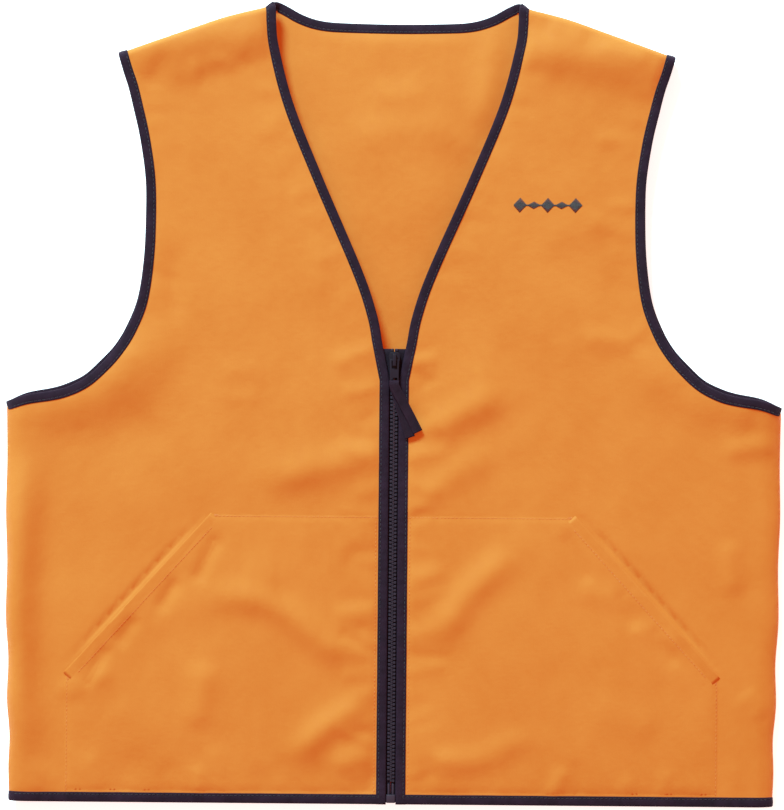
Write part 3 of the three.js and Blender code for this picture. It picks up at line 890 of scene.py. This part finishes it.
TAPE_TOP = [
    (0.0, 0.0), (0.1, 0.42), (0.4, 0.78), (0.95, 1.02), (1.9, 1.14), (3.5, 1.2), (4.9, 1.14),
    (5.7, 0.98), (6.1, 0.86), (6.5, 0.95), (7.0, 1.0), (7.5, 0.86), (7.8, 0.55),
]
TAPE_PROFILE = TAPE_TOP + [(u, -h) for u, h in reversed(TAPE_TOP[1:])]
TAPE_GROOVE, GROOVE_HEIGHT = 6.1, 0.95
WAVER = waves(21, 60)
TAPE_STEP = 1.4
TAPE_OUTER, TAPE_INNER = 1.2, 7.0       # where the tape reads the cloth's height, in from its free edge
STEEPEST_TAPE = 0.8


def bound(line, height, sign=1):
    """Tape folded over a cloth edge, and its stitches. The line is the free edge, with the cloth to its left."""
    line = resample(np.asarray(line, float)[:, :2], TAPE_STEP)
    normal = left_normal(line)
    placed, normal = line * [sign, 1], normal * [sign, 1]
    outer, inner = height(placed + normal * TAPE_OUTER), height(placed + normal * TAPE_INNER)
    tilt = np.clip((inner - outer) / (TAPE_INNER - TAPE_OUTER), -STEEPEST_TAPE, STEEPEST_TAPE)
    path = np.column_stack([placed, outer - TAPE_OUTER * tilt])
    across = np.column_stack([normal, tilt])
    body = swept(path, across, TAPE_PROFILE)
    wobble = 0.06 * WAVER(np.column_stack([np.arange(len(line)) * TAPE_STEP, line[:, 0]]))
    groove = path + unit(across) * (TAPE_GROOVE + wobble[:, None]) + [0, 0, GROOVE_HEIGHT]
    return body, stitches(groove[3:-3])


def bound_piece(name, tapes, nodes, place):
    """The tape and its thread, as two pieces that move together."""
    body, sewn = joined([t[0] for t in tapes]), joined([t[1] for t in tapes])
    obj = make(name, body[0], body[1], TAPE, body[2])
    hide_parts(*nodes)
    place(obj)
    row = make(f"{name}_thread", sewn[0], sewn[1], DARK_THREAD, sewn[2])
    place(row)


def on_body(obj):
    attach(obj, "vest_body")


def bound_edges():
    for side, sign in SIDES.items():
        def flap(obj, side=side):
            on_flap(obj)

        rib_shade = [bound(FRONT_EDGE, front_height, sign)]
        bound_piece(f"front_tape_{side}", rib_shade, [f"front_edge_binding_{side}"], flap)
        hem = resample([[7.5, HEM_Y], [HEM_END_X, HEM_Y]], 2.5)
        hem_tape = [bound(hem, lambda p: front_height(p) - 0.1, sign)]
        bound_piece(f"front_hem_tape_{side}", hem_tape, [f"front_hem_binding_{side}"], flap)
        armhole = [
            bound(ARMHOLE_FRONT, front_height, sign),
            bound(ARMHOLE_BACK, back_height, sign),
        ]
        bound_piece(f"armhole_tape_{side}", armhole, [f"armhole_binding_{side}"], on_body)
    bound_piece("neck_tape", [bound(NECK, back_height)], ["back_neck_binding"], on_body)
    hem = resample([[-HEM_END_X, HEM_Y], [HEM_END_X, HEM_Y]], 2.5)
    bound_piece("back_hem_tape", [bound(hem, back_height)], ["back_hem_binding"], on_body)


# ---------------------------------------------------------------- pockets

HEM_FOLD = 9.0
HEM_PROFILE = [
    (0.0, 0.0), (0.08, 0.25), (0.4, 0.4), (1.2, 0.44), (4.0, 0.34), (6.6, 0.25), (7.8, 0.12),
    (HEM_FOLD, -0.1), (HEM_FOLD, -0.3), (8.0, -0.5), (4.0, -0.7), (1.2, -0.75), (0.35, -0.65), (0.08, -0.4),
]
POCKET_PITCH = 3.4
BARTACKS = (("upper", 139.0, -89.6, 0.0), ("lower", 254.6, -218.5, math.pi / 2))       # x, y, turn
BARTACK_STRANDS, BARTACK_STEP, BARTACK_HALF = 9, 0.38, 0.7


def on_surface(line, height, lift):
    """The flat line, laid on a height field."""
    line = np.asarray(line, float)[:, :2]
    return np.column_stack([line, height(line) + lift])


def bartack(x, y, turn, sign):
    """A short dense bar of stitches at one end of a pocket's mouth."""
    turning = np.array([[math.cos(turn), math.sin(turn)], [-math.sin(turn), math.cos(turn)]])
    strands = []
    for i in range(BARTACK_STRANDS):
        step = (i - BARTACK_STRANDS // 2) * BARTACK_STEP
        jitter = 0.12 * (-1) ** i
        local = np.array([[step - 0.1, -BARTACK_HALF + jitter], [step + 0.1, BARTACK_HALF + jitter]])
        ends = on_surface((local @ turning + [x, y]) * [sign, 1], pocket_height, 0.24)
        strands.append(strand(ends[0], ends[1], 0.15, 0.04))
    return joined(strands)


def pockets():
    corners = np.vstack([POCKET, POCKET[:1]])
    sides = [corners[i:i + 2] for i in range(len(POCKET))]
    loop = np.vstack([resample(line, POCKET_PITCH)[:-1] for line in sides])
    points, faces = triangulated(loop, POCKET_PITCH, [offset(resample(line, 3), 1.2) for line in sides])
    for side, sign in SIDES.items():
        p, f = flipped(points, faces, sign)
        verts, solid, uv = cloth_solid(p, f, pocket_height(p))
        obj = make(f"pocket_cloth_{side}", verts, solid, ORANGE, uv)
        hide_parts(f"pocket_{side}")

        mouth = offset(MOUTH, -0.3) * [sign, 1]
        normal = left_normal(MOUTH) * [sign, 1]
        z = pocket_height(mouth + normal * 3)
        tilt = (pocket_height(mouth + normal * HEM_FOLD) - z) / HEM_FOLD
        body = swept(np.column_stack([mouth, z]), np.column_stack([normal, tilt]), HEM_PROFILE)
        hem = make(f"pocket_hem_{side}", body[0], body[1], ORANGE, body[2])
        top = resample([[11.6, -90.4], [141, -90.4]], 3.4) * [sign, 1]
        mouth_row = offset(MOUTH, HEM_FOLD - 1)[3:-3] * [sign, 1]
        outer = resample([[255.2, -220], [255.4, -307.5]], 3.4) * [sign, 1]
        inner = resample([[13.4, -93], [13.4, -307]], 3.4) * [sign, 1]
        rows = [on_surface(row, pocket_height, 0.28) for row in (top, outer, inner)]
        rows.append(on_surface(mouth_row, pocket_height, 0.3))
        sewn = joined([stitches(row, 2.3, 3.1, 0.22) for row in rows])
        row = make(f"pocket_thread_{side}", sewn[0], sewn[1], ORANGE_THREAD, sewn[2])
        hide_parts(f"pocket_stitching_{side}")
        pieces = [obj, hem, row]
        for label, x, y, turn in BARTACKS:
            tack = bartack(x, y, turn, sign)
            piece = make(f"bartack_{label}_{side}", tack[0], tack[1], ORANGE_THREAD, tack[2])
            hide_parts(f"pocket_bartack_{label}_{side}")
            pieces.append(piece)
        for piece in pieces:
            on_flap(piece)


# ---------------------------------------------------------------- chest emblem


DIAMONDS = 5                   # large and small by turns
SATIN_PITCH, SATIN_SLANT, SATIN_LIFT = 0.4, 0.15, 0.42


def emblem():
    """A generic row of embroidered diamonds on a bar, in satin stitch."""
    low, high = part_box("chest_emblem")
    x0, x1 = low.x / MM, high.x / MM
    y = (low.y + high.y) / 2 / MM
    half = (high.y - low.y) / 2 / MM
    spacing = (x1 - x0) / DIAMONDS
    strands = []
    for i in range(DIAMONDS):
        centre = x0 + spacing * (i + 0.5)
        height, width = (half if i % 2 == 0 else half / 2), spacing / 2
        for x in np.arange(centre - width + 0.4, centre + width - 0.3, SATIN_PITCH):
            reach = height * (1 - abs(x - centre) / width)
            if reach < 0.5:
                continue
            line = [[x - SATIN_SLANT, y - reach], [x + SATIN_SLANT, y + reach]]
            ends = on_surface(line, front_height, SATIN_LIFT)
            strands.append(strand(ends[0], ends[1], 0.235, 0.22, rings=6, flat=0.5))
    for x in np.arange(x0 + 3, x1 - 3, SATIN_PITCH):
        ends = on_surface([[x, y - 0.7], [x + SATIN_SLANT, y + 0.7]], front_height, SATIN_LIFT)
        strands.append(strand(ends[0], ends[1], 0.22, 0.08, flat=0.5))
    body = joined(strands)
    obj = make("chest_diamonds", body[0], body[1], EMBLEM_THREAD, body[2])
    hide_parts("chest_emblem")
    on_flap(obj)


# ---------------------------------------------------------------- zip

WEB_PROFILE = [
    (0.0, 0.0), (0.12, 0.5), (0.5, 0.72), (0.95, 0.5), (1.3, 0.28), (12.6, 0.26), (13.0, 0.0),
    (12.6, -0.26), (1.3, -0.28), (0.95, -0.5), (0.5, -0.72), (0.12, -0.5),
]
# the webs stand just clear of each other above the foot of the zip, and meet below it
WEB_EDGE_X, WEB_FOOT_X = 0.3, 0.02
WEB_TOP, WEB_Z = 42.2, 12.5
TOOTH_HALF = [
    (-0.82, 0.0), (-0.76, 0.46), (-0.46, 0.72), (0.1, 0.72), (0.4, 0.58), (0.8, 0.6), (1.05, 1.0), (2.7, 1.05),
    (2.9, 0.8),
]
TOOTH_LEVELS = [(11.1, 0.82), (11.35, 1.0), (13.65, 1.0), (13.95, 0.8)]      # height, share of full size
TOOTH_PITCH = 3.0
CHAIN_TOP, CHAIN_FOOT = 38.4, -298.6


def tooth(sign, y):
    """One moulded tooth, with a narrow neck behind its head."""
    outline = np.array(TOOTH_HALF + [(x, -w) for x, w in reversed(TOOTH_HALF[1:])])
    centre = np.array([1.1, 0.0])
    verts, m = [], len(outline)
    for z, share in TOOTH_LEVELS:
        ring = centre + (outline - centre) * share
        verts.append(np.column_stack([ring[:, 0] * sign, ring[:, 1] + y, np.full(m, z)]))
    verts = np.vstack(verts)
    return verts, outward(verts, bar_faces(len(TOOTH_LEVELS), m)), verts[:, :2] * MM


def zip_runs():
    for side, sign in SIDES.items():
        rib_shade = [[WEB_EDGE_X, WEB_TOP], [WEB_EDGE_X, -296.5], [WEB_FOOT_X, -299], [WEB_FOOT_X, HEM_Y + 1.5]]
        line = resample(rib_shade, 4) * [sign, 1]
        path = np.column_stack([line, np.full(len(line), WEB_Z)])
        across = np.tile([float(sign), 0, 0], (len(line), 1))
        body = swept(path, across, WEB_PROFILE)
        web = make(f"zip_web_{side}", body[0], body[1], ZIP_WEB, body[2])
        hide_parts(f"zip_tape_{side}")
        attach(web, f"front_{side}")
        start = CHAIN_TOP if sign > 0 else CHAIN_TOP - TOOTH_PITCH / 2
        teeth = joined([tooth(sign, y) for y in np.arange(start, CHAIN_FOOT, -TOOTH_PITCH)])
        row = make(f"zip_chain_{side}", teeth[0], teeth[1], TEETH, teeth[2])
        row.data.set_sharp_from_angle(angle=math.radians(35))
        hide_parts(f"zip_teeth_{side}")
        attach(row, f"front_{side}")


def polished(node, name, body, look, bevel):
    """A CAD shape with its edges rounded."""
    bm = bmesh.new()
    bm.from_mesh(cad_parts[node].data)
    bmesh.ops.remove_doubles(bm, verts=bm.verts, dist=1e-6)
    bmesh.ops.dissolve_limit(bm, angle_limit=math.radians(2), verts=bm.verts, edges=bm.edges)
    sharp = [e for e in bm.edges if len(e.link_faces) == 2 and e.calc_face_angle() > math.radians(28)]
    bmesh.ops.bevel(
        bm, geom=sharp, offset=bevel * MM, offset_type="OFFSET", segments=3, profile=0.5,
        affect="EDGES", clamp_overlap=True,
    )
    bmesh.ops.triangulate(bm, faces=bm.faces)
    mesh = bpy.data.meshes.new(name)
    bm.to_mesh(mesh)
    bm.free()
    mesh.shade_smooth()
    mesh.set_sharp_from_angle(angle=math.radians(40))
    mesh.materials.clear()
    mesh.materials.append(look)
    obj = bpy.data.objects.new(name, mesh)
    bpy.context.scene.collection.objects.link(obj)
    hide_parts(node)
    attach(obj, body)


def zip_hardware():
    for side in SIDES:
        polished(f"zip_top_stop_{side}", f"top_stop_{side}", f"front_{side}", RESIN, 0.25)
    polished("zip_insertion_pin", "insertion_pin", "front_left", RESIN, 0.3)
    polished("zip_retainer_pin", "retainer_pin", "front_right", RESIN, 0.3)
    polished("zip_retainer_box", "retainer_box", "front_right", RESIN, 0.5)
    polished("slider_body", "slider_shell", "slider", METAL, 0.55)
    polished("slider_bridge", "slider_bow", "slider", METAL, 0.45)
    polished("pull_tab", "pull_tab_plate", "pull_tab", METAL, 0.3)


RIBBON_PROFILE = [
    (-3.8, 0.0), (-3.7, 0.24), (-3.3, 0.36), (-2.9, 0.3), (0, 0.32), (2.9, 0.3), (3.3, 0.36), (3.7, 0.24),
    (3.8, 0.0), (3.7, -0.24), (3.3, -0.36), (2.9, -0.3), (0, -0.32), (-2.9, -0.3), (-3.3, -0.36), (-3.7, -0.24),
]
# from the end of the upper tail, round the tab's bar, to the end of the lower tail
RIBBON_ROUTE = [
    (19.0, -23.1, 17.7), (14.4, -14.0, 18.0), (9.4, -4.6, 18.4), (4.9, 4.0, 18.9), (1.3, 10.4, 19.5),
    (0.1, 13.6, 19.8), (0, 15.6, 19.7), (0, 16.8, 19.1), (0, 17.1, 18.15), (0, 16.8, 17.2), (0, 15.6, 16.65),
    (0.1, 13.4, 16.55), (0.8, 10.0, 16.5), (2.6, 4.6, 16.5), (5.6, -5.8, 16.6), (9.0, -15.8, 16.6),
    (13.0, -27.4, 16.6),
]


def ribbon():
    """A short flat ribbon looped through the tab, with two free tails."""
    path = spline(RIBBON_ROUTE, 1.0)
    tangent = unit(np.gradient(path, axis=0))
    slant = np.column_stack([-tangent[:, 1], tangent[:, 0], np.zeros(len(path))])
    slant *= np.where(slant[:, :1] < 0, -1, 1)
    share = smooth((13.0 - path[:, 1]) / 9.0)[:, None]
    across = unit(np.array([1.0, 0, 0]) * (1 - share) + unit(slant + TINY) * share)
    across -= (across * tangent).sum(1)[:, None] * tangent
    body = swept(path, across, RIBBON_PROFILE, keep_up=False)
    obj = make("ribbon_strap", body[0], body[1], RIBBON, body[2])
    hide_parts("ribbon_pull")
    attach(obj, "ribbon_pull")


# ---------------------------------------------------------------- floor


FLOOR_HALF, FLOOR_POINTS, FLOOR_Z = 12.0, 9, -0.5      # metres, points a side, millimetres


def floor():
    n = FLOOR_POINTS
    xs = np.linspace(-FLOOR_HALF, FLOOR_HALF, n) / MM
    verts = [(x, y, FLOOR_Z) for y in xs for x in xs]
    faces = [
        (j * n + i, j * n + i + 1, (j + 1) * n + i + 1, (j + 1) * n + i)
        for j in range(n - 1) for i in range(n - 1)
    ]
    make("floor", np.array(verts), faces, FLOOR)


front_panels()
back_panel()
seam_welts()
bound_edges()
pockets()
emblem()
zip_runs()
zip_hardware()
ribbon()
floor()
